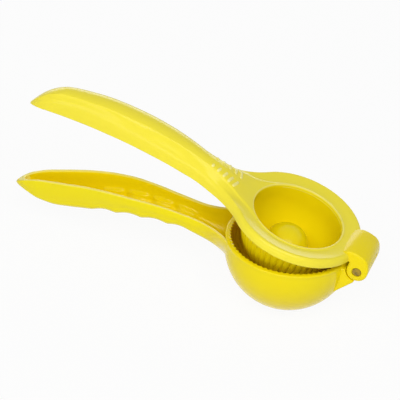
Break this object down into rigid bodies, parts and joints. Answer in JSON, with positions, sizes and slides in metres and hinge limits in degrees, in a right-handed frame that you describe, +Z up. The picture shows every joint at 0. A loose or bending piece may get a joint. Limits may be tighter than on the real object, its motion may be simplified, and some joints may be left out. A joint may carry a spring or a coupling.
{
  "type": "hinged lemon squeezer",
  "caption": "Hinged hand lemon squeezer: a fluted bowl arm and a ribbed press cup arm with long channel handles, joined by a pin, shown partly open.",
  "frame": {"origin": "centre of the small flat foot under the bowl, on the bowl's upright axis", "axes": "+Z up the bowl's axis, +X from the bowl towards the hinge, handles towards -X, +Y along the hinge pin"},
  "size_m": [0.2098, 0.0734, 0.0937],
  "materials": {
    "enamel": "glossy lemon yellow enamel on cast aluminium",
    "pin_steel": "dull steel pin with enamel haze on its ends"
  },
  "bodies": {
    "lower": {"lower_arm": "enamel"},
    "upper": {"upper_arm": "enamel", "hinge_pin": "pin_steel"}
  },
  "joints": [
    {"name": "hinge", "type": "hinge", "parent": "lower", "child": "upper", "pos_m": [0.0412, 0, 0.03802], "axis": [0, 1, 0], "range_deg": [-13.3, 100]}
  ]
}
